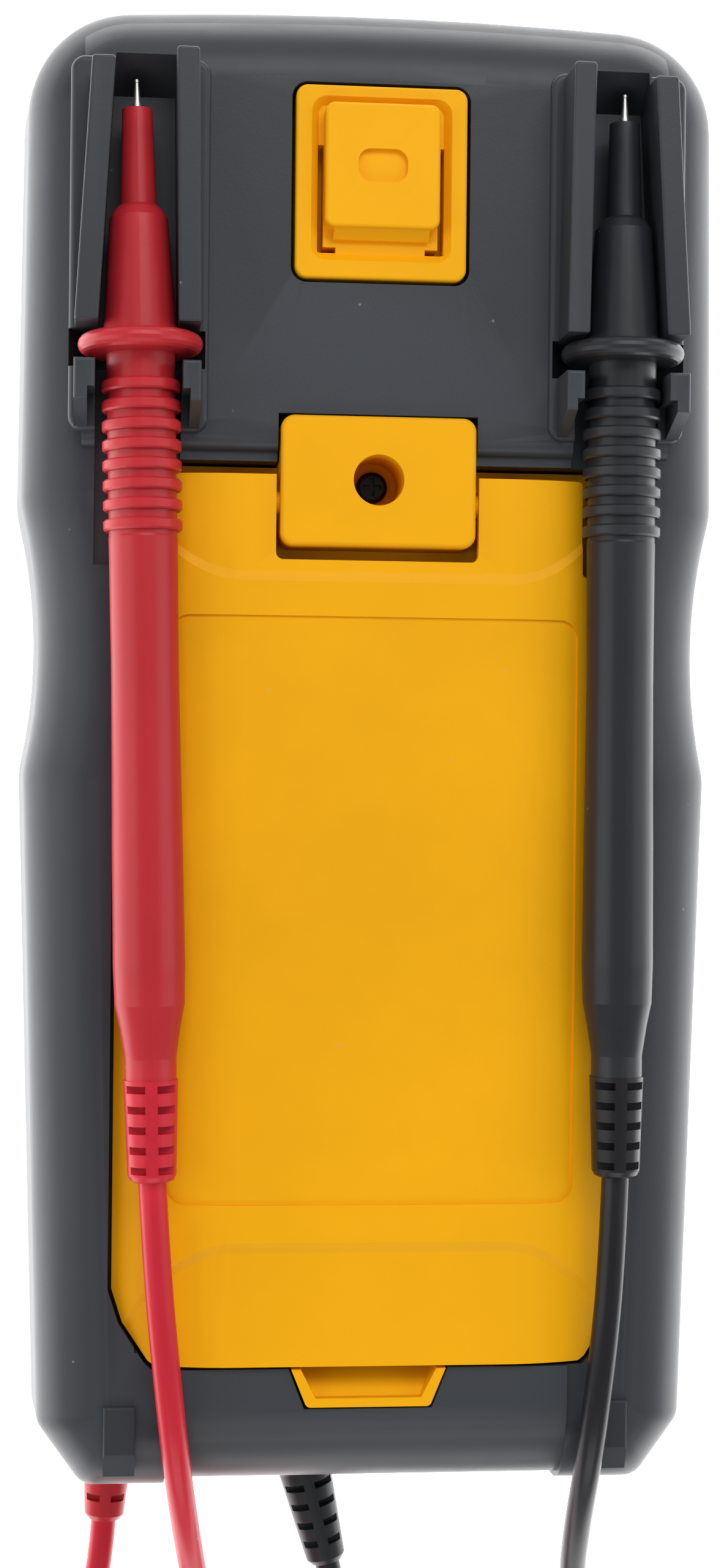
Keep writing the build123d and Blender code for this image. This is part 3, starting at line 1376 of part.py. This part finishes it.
def probe_profile():
    """(distance, radius) outline of a probe's body from its nose to its tail."""
    outline = [
        (tip_length, 0),
        (tip_length, 2.0),
        (nose_end, 2.4),
        (nose_end + 0.5, 3.1),
        (nose_end + 1.7, 3.85),
        (guard_start, cone_radius),
    ]
    rim_steps = 8
    for step in range(rim_steps + 1):
        angle = math.pi * (1 - step / rim_steps)
        along = (guard_start + guard_end) / 2 + guard_round * math.cos(angle)
        outline.append((along, guard_radius - guard_round * (1 - math.sin(angle))))
    outline.append((guard_end, core_radius))
    for index in range(grip_rings):
        start = grip_start + index * grip_pitch
        outline.append((start, core_radius))
        outline.append((start, grip_radius - 0.25))
        outline.append((start + 0.25, grip_radius))
        outline.append((start + grip_length - 0.25, grip_radius))
        outline.append((start + grip_length, grip_radius - 0.25))
        outline.append((start + grip_length, core_radius))
    outline += [
        (barrel_start, core_radius),
        (barrel_start + 0.3, 4.55),
        (78.0, 4.45),
        (100.0, 4.65),
        (neck_start - 6, 4.75),
        (neck_start - 1, 4.6),
        (neck_start + 2, 4.0),
        (neck_end, 3.4),
        (relief_start, 3.4),
        (relief_start, 0),
    ]
    return outline


for colour, lead in leads.items():
    tip = Vector(*lead["tip"])
    axis = direction(lead["tip"], lead["tail"])
    rod_end = tip_length + rod_inside

    with BuildPart() as probe_body:
        add(turned(tip, axis, probe_profile()))
        rod_bore = [(0, 0), (0, rod_radius), (rod_end, rod_radius), (rod_end, 0)]
        add(turned(tip, axis, rod_bore), mode=Mode.SUBTRACT)
    save(probe_body, f"{colour}_probe_body")

    with BuildPart() as probe_tip:
        rod = [
            (0, 0),
            (0.15, tip_radius),
            (0.5, tip_radius),
            (0.6, tip_radius - 0.05),
            (tip_taper_end, rod_radius - 0.1),
            (tip_taper_end, rod_radius),
            (rod_end, rod_radius),
            (rod_end, 0),
        ]
        add(turned(tip, axis, rod))
    save(probe_tip, f"{colour}_probe_tip")

    with BuildPart() as probe_strain_relief:
        relief_end = relief_start + relief_length
        relief = [
            (relief_start, 0),
            (relief_start, 3.6),
            (relief_end - 0.9, 3.2),
            (relief_end - 0.3, 2.9),
            (relief_end, 2.3),
            (relief_end, 0),
        ]
        add(turned(tip, axis, relief))
        first_slot = relief_start + 0.6
        starts = [first_slot + index * relief_slot_pitch for index in range(relief_slots)]
        add(relief_pockets(tip, axis, starts, 1.6), mode=Mode.SUBTRACT)
    save(probe_strain_relief, f"{colour}_probe_strain_relief")

    turn = math.radians(lead["plug_turn"])
    jack_x, jack_y = lead["jack"]
    plug_origin = Vector(jack_x, jack_y, plug_axis_z)
    plug_axis = Vector(math.sin(turn), -math.cos(turn), 0)
    with BuildPart() as plug_body:
        barrel = [
            (-5.4, 0),
            (-5.4, 4.4),
            (-4.2, 5.6),
            (8.0, 5.6),
            (plug_relief_start - 2, 4.9),
            (plug_relief_start, 4.3),
            (plug_relief_start + 1, 3.9),
            (plug_length - 0.8, 2.9),
            (plug_length, 2.3),
            (plug_length, 0),
        ]
        add(turned(plug_origin, plug_axis, barrel))
        elbow_z = (plug_axis_z - plug_elbow_radius + 0.6, jack_face_z - 0.3)
        add(post(jack_x, jack_y, plug_elbow_radius, elbow_z))
        add(post(jack_x, jack_y, plug_collar_radius, (plug_axis_z, plug_collar_z)))
        starts = [plug_relief_start + 2.6 + index * 2.9 for index in range(4)]
        add(relief_pockets(plug_origin, plug_axis, starts, 1.5), mode=Mode.SUBTRACT)
        pin_z = (plug_axis_z, pin_top_z)
        add(post(jack_x, jack_y, pin_radius, pin_z), mode=Mode.SUBTRACT)
    save(plug_body, f"{colour}_plug_body")

    with BuildPart() as plug_pin:
        add(post(jack_x, jack_y, pin_radius, pin_z))
        fillet(plug_pin.faces().sort_by(Axis.Z)[-1].edges(), radius=0.8)
    save(plug_pin, f"{colour}_plug_pin")

    coil_x = lead["coil_x"]
    with BuildPart() as lead_coil:
        with BuildSketch(Plane.XZ.offset(-coil_centre_y)):
            with Locations((coil_x + coil_mean_radius, coil_section / 2)):
                RectangleRounded(coil_section, coil_section, cord_radius - 0.01)
        revolve(axis=Axis((coil_x, coil_centre_y, 0), (0, 0, 1)))
    save(lead_coil, f"{colour}_lead_coil")

    probe_end = tip + axis * (relief_start + relief_length + soft_gap)
    coil_in = coil_entry(coil_x, lead["probe_run_turn"], coil_section - cord_radius)
    probe_points = [tuple(probe_end), *lead["probe_run"], coil_in]
    with BuildPart() as lead_probe_run:
        add(cord_run(probe_points, f"{colour}_lead_probe_run"))
    save(lead_probe_run, f"{colour}_lead_probe_run")

    plug_end = plug_origin + plug_axis * plug_length
    coil_out = coil_entry(coil_x, lead["plug_run_turn"], cord_radius)
    plug_points = [tuple(plug_end), *lead["plug_run"], coil_out]
    with BuildPart() as lead_plug_run:
        add(cord_run(plug_points, f"{colour}_lead_plug_run"))
    save(lead_plug_run, f"{colour}_lead_plug_run")
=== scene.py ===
"""Visual model of the digital multimeter: camera, leads, materials and studio round its CAD frame."""
import json
import math

import bpy
from mathutils import Euler, Matrix, Vector


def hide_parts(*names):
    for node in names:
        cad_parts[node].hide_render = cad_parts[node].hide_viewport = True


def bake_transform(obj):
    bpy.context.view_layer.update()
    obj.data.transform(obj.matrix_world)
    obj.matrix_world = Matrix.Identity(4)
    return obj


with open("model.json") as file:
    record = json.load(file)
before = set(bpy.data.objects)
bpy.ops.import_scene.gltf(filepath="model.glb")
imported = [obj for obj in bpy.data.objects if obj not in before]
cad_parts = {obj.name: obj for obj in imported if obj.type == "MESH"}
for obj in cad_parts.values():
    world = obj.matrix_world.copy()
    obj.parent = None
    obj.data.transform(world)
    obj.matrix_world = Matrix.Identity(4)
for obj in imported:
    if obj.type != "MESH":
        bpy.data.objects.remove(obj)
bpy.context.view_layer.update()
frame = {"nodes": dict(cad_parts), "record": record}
nodes = frame["nodes"]
MM = 0.001

# ---- Camera -----------------------------------------------------------------------------------
FOCAL_PIXELS = 4200.0
FRAME_PIXELS = 2560.0
SENSOR_MM = 36.0
TILT_X, TILT_Y, TILT_Z = 0.001726, 0.101578, -0.010122
OFFSET_X, OFFSET_Y, DISTANCE = 3.04674, 92.967145, 342.69361
AIM_Y, AIM_Z = 88.2, 46.0
NEAR_CLIP = 0.01


def make_camera():
    """The photo's camera: a turn about each axis, then an offset from a point on the meter's back."""
    world_to_camera = (
        Euler((0, 0, TILT_Z)).to_matrix()
        @ Euler((0, TILT_Y, 0)).to_matrix()
        @ Euler((TILT_X, 0, 0)).to_matrix()
    )
    camera_to_world = world_to_camera.transposed()
    place = camera_to_world @ Vector((-OFFSET_X, -OFFSET_Y, DISTANCE)) + Vector((0, AIM_Y, AIM_Z))
    camera = bpy.data.objects.new("camera", bpy.data.cameras.new("camera"))
    bpy.context.scene.collection.objects.link(camera)
    camera.matrix_world = Matrix.Translation(place * MM) @ camera_to_world.to_4x4()
    camera.data.sensor_fit = "VERTICAL"
    camera.data.sensor_height = SENSOR_MM
    camera.data.lens = FOCAL_PIXELS / FRAME_PIXELS * SENSOR_MM
    camera.data.clip_start = NEAR_CLIP
    bpy.context.scene.camera = camera


make_camera()

# ---- Leads ------------------------------------------------------------------------------------
CORD_DIAMETER = 3.7
CORD_RADIUS = CORD_DIAMETER / 2
COIL_RADIUS = 20.4
COIL_CENTRE_Y = -165.0
COIL_TURNS = 8
LAST_PLACE_SHARE = 0.65
STEPS_PER_TURN = 24
SHIFT_SHARE = 0.09
CURVE_STEPS = 6
ROUND_STEPS = 6
COIL_PLACES = [
    (1, 2), (0, 2), (-1, 2), (-1, 1), (-1, 0), (0, 0), (0, 1), (1, 1), (1, 0),
]
LEADS = {
    "red": {
        "probe_end": (-29.273, -56.452, 48.991),
        "probe_run": [(-28.5, -69.0, 49.0), (-27.2, -81.5, 48.8), (-25.7, -94.5, 46.8),
                      (-23.9, -106.5, 40.5), (-22.0, -117.0, 31.0), (-18.6, -127.5, 20.5),
                      (-13.0, -138.5, 13.2), (-7.4, -149.0, 10.1)],
        "coil_x": -28.0,
        "turn_in": 15.0,
        "turn_out": 150.0,
        "plug_run": [(-44.7, -145.5, 2.3), (-39.8, -135.0, 3.8), (-35.6, -124.0, 6.0)],
        "jack": (-33.0, -76.0),
        "plug_turn": -2.9,
    },
    "black": {
        "probe_end": (32.4, -56.09, 48.987),
        "probe_run": [(32.0, -69.0, 49.0), (30.9, -81.5, 48.9), (29.7, -94.5, 47.0),
                      (29.4, -106.0, 40.0), (30.4, -116.5, 30.5), (34.0, -127.0, 20.5),
                      (39.8, -137.0, 13.4), (45.6, -145.7, 10.2)],
        "coil_x": 28.0,
        "turn_in": 25.0,
        "turn_out": 172.0,
        "plug_run": [(4.0, -152.0, 1.95), (2.9, -141.0, 3.4), (0.6, -130.5, 5.6)],
        "jack": (-11.0, -84.0),
        "plug_turn": 14.2,
    },
}
PLUG_LENGTH = 36.5
PLUG_AXIS_Z = 6.4


def smooth(share):
    """Eased share from 0 to 1, held at both ends."""
    share = min(1.0, max(0.0, share))
    return share * share * (3 - 2 * share)


def coil_points(lead):
    """Clockwise turns from the top outer place down to the bottom outer one, in a 3 by 3 section."""
    whole = COIL_TURNS - (lead["turn_out"] - lead["turn_in"]) / 360
    points = []
    steps = int(whole * STEPS_PER_TURN)
    stretch = whole / (len(COIL_PLACES) - 1 + LAST_PLACE_SHARE)
    for step in range(steps + 1):
        turned = whole * step / steps
        place = turned / stretch
        index = min(int(place), len(COIL_PLACES) - 1)
        after = min(index + 1, len(COIL_PLACES) - 1)
        share = smooth((place - index - 1 + SHIFT_SHARE) / SHIFT_SHARE)
        column = COIL_PLACES[index][0] * (1 - share) + COIL_PLACES[after][0] * share
        layer = COIL_PLACES[index][1] * (1 - share) + COIL_PLACES[after][1] * share
        angle = math.radians(lead["turn_in"] - 360 * turned)
        radius = COIL_RADIUS + column * CORD_DIAMETER
        height = CORD_RADIUS + layer * CORD_DIAMETER
        points.append(
            (
                lead["coil_x"] + radius * math.cos(angle),
                COIL_CENTRE_Y + radius * math.sin(angle),
                height,
            )
        )
    return points


def route_spline(name, points, bevel):
    """The lead's smooth line through its control points, bare or as a tube."""
    curve = bpy.data.curves.new(name, "CURVE")
    curve.dimensions = "3D"
    spline = curve.splines.new("NURBS")
    spline.points.add(len(points) - 1)
    for control, point in zip(spline.points, points):
        control.co = (point[0] * MM, point[1] * MM, point[2] * MM, 1)
    spline.order_u = 3
    spline.use_endpoint_u = True
    spline.resolution_u = CURVE_STEPS
    curve.bevel_depth = bevel
    curve.bevel_resolution = ROUND_STEPS
    curve.use_fill_caps = bevel > 0
    return bpy.data.objects.new(name, curve)


def mesh_of(curve_object):
    """The curve's evaluated mesh. The curve object is removed."""
    bpy.context.scene.collection.objects.link(curve_object)
    bpy.context.view_layer.update()
    graph = bpy.context.evaluated_depsgraph_get()
    mesh = bpy.data.meshes.new_from_object(curve_object.evaluated_get(graph))
    bpy.data.objects.remove(curve_object)
    return mesh


def make_lead(colour, lead):
    """One lead as a mesh tube from its probe, through its coil, to its plug."""
    turn = math.radians(lead["plug_turn"])
    plug_end = (
        lead["jack"][0] + PLUG_LENGTH * math.sin(turn),
        lead["jack"][1] - PLUG_LENGTH * math.cos(turn),
        PLUG_AXIS_Z,
    )
    points = [lead["probe_end"], *lead["probe_run"], *coil_points(lead), *lead["plug_run"], plug_end]
    line = mesh_of(route_spline(f"{colour}_line", points, 0.0))
    path = [tuple(vertex.co) for vertex in line.vertices]
    tube = mesh_of(route_spline(f"{colour}_tube", points, CORD_RADIUS * MM))
    for polygon in tube.polygons:
        polygon.use_smooth = True
    cord = bpy.data.objects.new(f"{colour}_lead", tube)
    bpy.context.scene.collection.objects.link(cord)
    runs = [f"{colour}_lead_probe_run", f"{colour}_lead_coil", f"{colour}_lead_plug_run"]
    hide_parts(*runs)
    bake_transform(cord)
    length = sum((Vector(a) - Vector(b)).length for a, b in zip(path, path[1:]))
    print(f"{colour} lead length {length:.4f} m, {len(path)} points")
    return cord


cords = {colour: make_lead(colour, lead) for colour, lead in LEADS.items()}


# ---- Material tools ---------------------------------------------------------------------------
class Shade:
    """A small builder of procedural node materials in object space."""

    def __init__(self, name):
        self.material = bpy.data.materials.new(name)
        self.material.use_nodes = True
        self.tree = self.material.node_tree
        self.shader = self.tree.nodes["Principled BSDF"]
        self.where = self.tree.nodes.new("ShaderNodeTexCoord").outputs["Object"]

    def node(self, kind, **values):
        made = self.tree.nodes.new(kind)
        for key, value in values.items():
            setattr(made, key, value)
        return made

    def link(self, source, target):
        self.tree.links.new(source, target)

    def noise(self, scale, detail=3.0, roughness=0.5, stretch=None):
        made = self.node("ShaderNodeTexNoise")
        made.inputs["Scale"].default_value = scale
        made.inputs["Detail"].default_value = detail
        made.inputs["Roughness"].default_value = roughness
        if stretch:
            mapping = self.node("ShaderNodeMapping")
            mapping.inputs["Scale"].default_value = stretch
            self.link(self.where, mapping.inputs["Vector"])
            self.link(mapping.outputs["Vector"], made.inputs["Vector"])
        else:
            self.link(self.where, made.inputs["Vector"])
        return made.outputs["Fac"]

    def ramp(self, source, stops):
        made = self.node("ShaderNodeValToRGB")
        while len(made.color_ramp.elements) < len(stops):
            made.color_ramp.elements.new(0.5)
        for element, (position, colour) in zip(made.color_ramp.elements, stops):
            element.position = position
            element.color = (*colour, 1)
        self.link(source, made.inputs["Fac"])
        return made.outputs["Color"]

    def spread(self, source, low, high):
        made = self.node("ShaderNodeMapRange")
        made.inputs["To Min"].default_value = low
        made.inputs["To Max"].default_value = high
        self.link(source, made.inputs["Value"])
        return made.outputs["Result"]

    def bump(self, source, height, before=None):
        made = self.node("ShaderNodeBump")
        made.inputs["Strength"].default_value = 1.0
        made.inputs["Distance"].default_value = height
        self.link(source, made.inputs["Height"])
        if before:
            self.link(before, made.inputs["Normal"])
        return made.outputs["Normal"]


DRIFT_SCALE = 28
# Share of the painted edge highlight mixed into the plastic colour.
EDGE_HIGHLIGHT_BLEND = 0.55
DUST_SCALE = 130
DUST_COLOUR = (0.4, 0.4, 0.4)
SCUFF_SCALE = 160
WAVE_SCALE = 90
WAVE_HEIGHT = 3.0e-5
WHITE = (1, 1, 1)
NO_COLOUR = (0, 0, 0)


def tint(colour, factor):
    """A colour made lighter or darker, kept below white."""
    return tuple(min(1.0, channel * factor) for channel in colour)


def moulded(
    name,
    colour,
    low=0.38,
    high=0.5,
    grain=2600,
    grain_height=1.2e-5,
    specular=0.3,
    edge_highlight=1.25,
    dusty=0.45,
):
    """Moulded plastic: fine spark-eroded grain, slow colour drift, faint scuffs and a painted highlight on
    convex edges.
    """
    shade = Shade(name)
    drift = shade.noise(DRIFT_SCALE, 4, 0.6)
    base = shade.ramp(drift, [(0.3, tint(colour, 0.93)), (0.7, tint(colour, 1.06))])
    # Painted highlight: convex edges, found from Pointiness, are mixed towards a lighter tint of the
    # colour.
    geometry = shade.node("ShaderNodeNewGeometry")
    edge_highlight_mask = shade.ramp(geometry.outputs["Pointiness"], [(0.515, NO_COLOUR), (0.56, WHITE)])
    edge_highlight_mix = shade.node("ShaderNodeMix", data_type="RGBA")
    edge_highlight_share = shade.spread(edge_highlight_mask, 0.0, EDGE_HIGHLIGHT_BLEND)
    shade.link(edge_highlight_share, edge_highlight_mix.inputs["Factor"])
    shade.link(base, edge_highlight_mix.inputs["A"])
    edge_highlight_mix.inputs["B"].default_value = (*tint(colour, edge_highlight), 1)
    specks = shade.node("ShaderNodeTexVoronoi")
    specks.inputs["Scale"].default_value = DUST_SCALE
    shade.link(shade.where, specks.inputs["Vector"])
    dust = shade.ramp(specks.outputs["Distance"], [(0.012, WHITE), (0.03, NO_COLOUR)])
    dust_mix = shade.node("ShaderNodeMix", data_type="RGBA")
    shade.link(shade.spread(dust, 0.0, dusty), dust_mix.inputs["Factor"])
    shade.link(edge_highlight_mix.outputs["Result"], dust_mix.inputs["A"])
    dust_mix.inputs["B"].default_value = (*DUST_COLOUR, 1)
    shade.link(dust_mix.outputs["Result"], shade.shader.inputs["Base Color"])
    scuffs = shade.noise(SCUFF_SCALE, 6, 0.7, stretch=(1.0, 0.25, 1.0))
    shade.link(shade.spread(scuffs, low, high), shade.shader.inputs["Roughness"])
    fine = shade.noise(grain, 2, 0.5)
    wavy = shade.noise(WAVE_SCALE, 3, 0.5)
    rough = shade.bump(fine, grain_height)
    shade.link(shade.bump(wavy, WAVE_HEIGHT, rough), shade.shader.inputs["Normal"])
    shade.shader.inputs["Specular IOR Level"].default_value = specular
    return shade.material


def metal(name, colour, low=0.16, high=0.34):
    """Turned and plated metal with fine scratches."""
    shade = Shade(name)
    streaks = shade.noise(900, 3, 0.6, stretch=(1.0, 0.08, 1.0))
    plating = shade.ramp(streaks, [(0.3, tint(colour, 0.85)), (0.7, colour)])
    shade.link(plating, shade.shader.inputs["Base Color"])
    shade.link(shade.spread(streaks, low, high), shade.shader.inputs["Roughness"])
    shade.link(shade.bump(streaks, 4e-6), shade.shader.inputs["Normal"])
    shade.shader.inputs["Metallic"].default_value = 1.0
    return shade.material


def glassy(name, colour, alpha, roughness=0.06):
    """Clear or tinted sheet with faint smears."""
    shade = Shade(name)
    smears = shade.noise(60, 4, 0.6)
    sheet = shade.ramp(smears, [(0.3, tint(colour, 0.96)), (0.7, colour)])
    shade.link(sheet, shade.shader.inputs["Base Color"])
    shade.link(shade.spread(smears, roughness, roughness + 0.06), shade.shader.inputs["Roughness"])
    shade.shader.inputs["Alpha"].default_value = alpha
    return shade.material


def speckled(name, dark, light, scale, roughness):
    """Two tones in fine patches, for board, fuse bodies and cell jackets."""
    shade = Shade(name)
    specks = shade.noise(scale, 5, 0.7)
    shade.link(shade.ramp(specks, [(0.4, dark), (0.62, light)]), shade.shader.inputs["Base Color"])
    shade.link(shade.spread(specks, roughness, roughness + 0.15), shade.shader.inputs["Roughness"])
    shade.link(shade.bump(specks, 1e-5), shade.shader.inputs["Normal"])
    return shade.material


SLATE = (0.0355, 0.04, 0.047)
YELLOW = (0.9, 0.42, 0.004)
RED = (0.46, 0.02, 0.028)
RED_CABLE = (0.52, 0.016, 0.032)
BLACK = (0.018, 0.0205, 0.024)
BLACK_CABLE = (0.0115, 0.0115, 0.0145)

# The edge factors below set how much lighter the painted edge highlight is than each plastic.
MATERIALS = {
    "case_plastic": moulded("case_plastic", SLATE, 0.36, 0.48, edge_highlight=1.5),
    "yellow_plastic": moulded(
        "yellow_plastic", YELLOW, 0.4, 0.5, grain=2200, specular=0.12, edge_highlight=1.05
    ),
    "red_plastic": moulded("red_plastic", RED, 0.3, 0.42, grain=1800, grain_height=6e-6),
    "black_plastic": moulded(
        "black_plastic", BLACK, 0.3, 0.42, grain=1800, grain_height=6e-6, edge_highlight=1.5
    ),
    "red_cable": moulded("red_cable", RED_CABLE, 0.26, 0.38, grain=900, grain_height=8e-6),
    "black_cable": moulded(
        "black_cable", BLACK_CABLE, 0.26, 0.38, grain=900, grain_height=8e-6, edge_highlight=1.4
    ),
    "pad_rubber": moulded(
        "pad_rubber", tint(SLATE, 0.8), 0.55, 0.7, grain=1400, grain_height=2e-5, edge_highlight=1.3
    ),
    "seal_rubber": moulded("seal_rubber", (0.02, 0.02, 0.02), 0.6, 0.75, grain=1200),
    "button_rubber": moulded("button_rubber", (0.1, 0.105, 0.115), 0.5, 0.65, grain=1500),
    "knob": moulded("knob", tint(SLATE, 0.7), 0.34, 0.46, edge_highlight=1.6),
    "lcd_frame": moulded("lcd_frame", (0.6, 0.6, 0.58), 0.4, 0.5),
    "chip": moulded("chip", (0.012, 0.012, 0.013), 0.4, 0.55, grain=3000),
    "faceplate": moulded(
        "faceplate", (0.12, 0.125, 0.135), 0.3, 0.4, grain=2400, grain_height=6e-6
    ),
    "black_screw": metal("black_screw", (0.03, 0.03, 0.033), 0.25, 0.4),
    "plated_tip": metal("plated_tip", (0.92, 0.91, 0.88), 0.38, 0.5),
    "steel": metal("steel", (0.55, 0.56, 0.58)),
    "brass": metal("brass", (0.72, 0.5, 0.2), 0.2, 0.36),
    "window": glassy("window", (0.9, 0.93, 0.95), 0.25),
    "lcd": glassy("lcd", (0.42, 0.47, 0.38), 1.0, 0.2),
    "board": speckled("board", (0.012, 0.11, 0.04), (0.03, 0.2, 0.08), 300, 0.35),
    "fuse": speckled("fuse", (0.7, 0.67, 0.6), (0.8, 0.78, 0.7), 500, 0.4),
    "cell": speckled("cell", (0.03, 0.04, 0.12), (0.06, 0.08, 0.2), 120, 0.3),
}
for entry in frame["record"]["subparts"]:
    mesh = nodes[entry["node"]].data
    mesh.materials.clear()
    mesh.materials.append(MATERIALS[entry["material_slot"]])
for colour, cord in cords.items():
    cord.data.materials.clear()
    cord.data.materials.append(MATERIALS[f"{colour}_cable"])

# ---- Studio -----------------------------------------------------------------------------------
FLOOR_SIZE = 6.0
FLOOR_DROP = 0.0004
FLOOR_GLOW = 2.4
FLOOR_TONES = [(0.3, (0.93, 0.93, 0.93)), (0.7, (0.95, 0.95, 0.95))]
WORLD_STRENGTH = 0.35
LIGHTS = {
    "top_light": ((0.1, 0.55, 0.75), (0, 0.02, 0.03), (0.7, 0.4), 4.0),
    "left_light": ((-0.75, 0.0, 0.4), (0, 0, 0.03), (0.4, 0.9), 2.3),
    "right_light": ((0.75, 0.05, 0.35), (0, 0, 0.03), (0.4, 0.9), 1.9),
    "front_light": ((0.0, -0.7, 0.45), (0, -0.05, 0.03), (0.7, 0.3), 1.4),
}


def make_floor():
    """A plain pale floor just under the meter, lit so that it stays white."""
    bpy.ops.mesh.primitive_plane_add(size=FLOOR_SIZE, location=(0, 0, -FLOOR_DROP))
    floor = bpy.context.object
    floor.name = "studio_floor"
    shade = Shade("studio_floor")
    cloudy = shade.noise(3, 2, 0.5)
    shade.link(shade.ramp(cloudy, FLOOR_TONES), shade.shader.inputs["Base Color"])
    shade.shader.inputs["Roughness"].default_value = 0.9
    shade.shader.inputs["Emission Color"].default_value = (1, 1, 1, 1)
    shade.shader.inputs["Emission Strength"].default_value = FLOOR_GLOW
    floor.data.materials.append(shade.material)


def soft_light(name, place, aim, size, watts):
    """A large area light turned towards a point."""
    light = bpy.data.lights.new(name, "AREA")
    light.shape = "RECTANGLE"
    light.size, light.size_y = size
    light.energy = watts
    light.color = WHITE
    holder = bpy.data.objects.new(name, light)
    bpy.context.scene.collection.objects.link(holder)
    holder.location = place
    holder.rotation_euler = (Vector(aim) - Vector(place)).to_track_quat("-Z", "Y").to_euler()


make_floor()
for light_name, values in LIGHTS.items():
    soft_light(light_name, *values)

world = bpy.data.worlds.new("studio_world")
world.use_nodes = True
backdrop = world.node_tree.nodes["Background"]
backdrop.inputs["Color"].default_value = (*WHITE, 1)
backdrop.inputs["Strength"].default_value = WORLD_STRENGTH
bpy.context.scene.world = world
bpy.context.scene.view_settings.view_transform = "Standard"
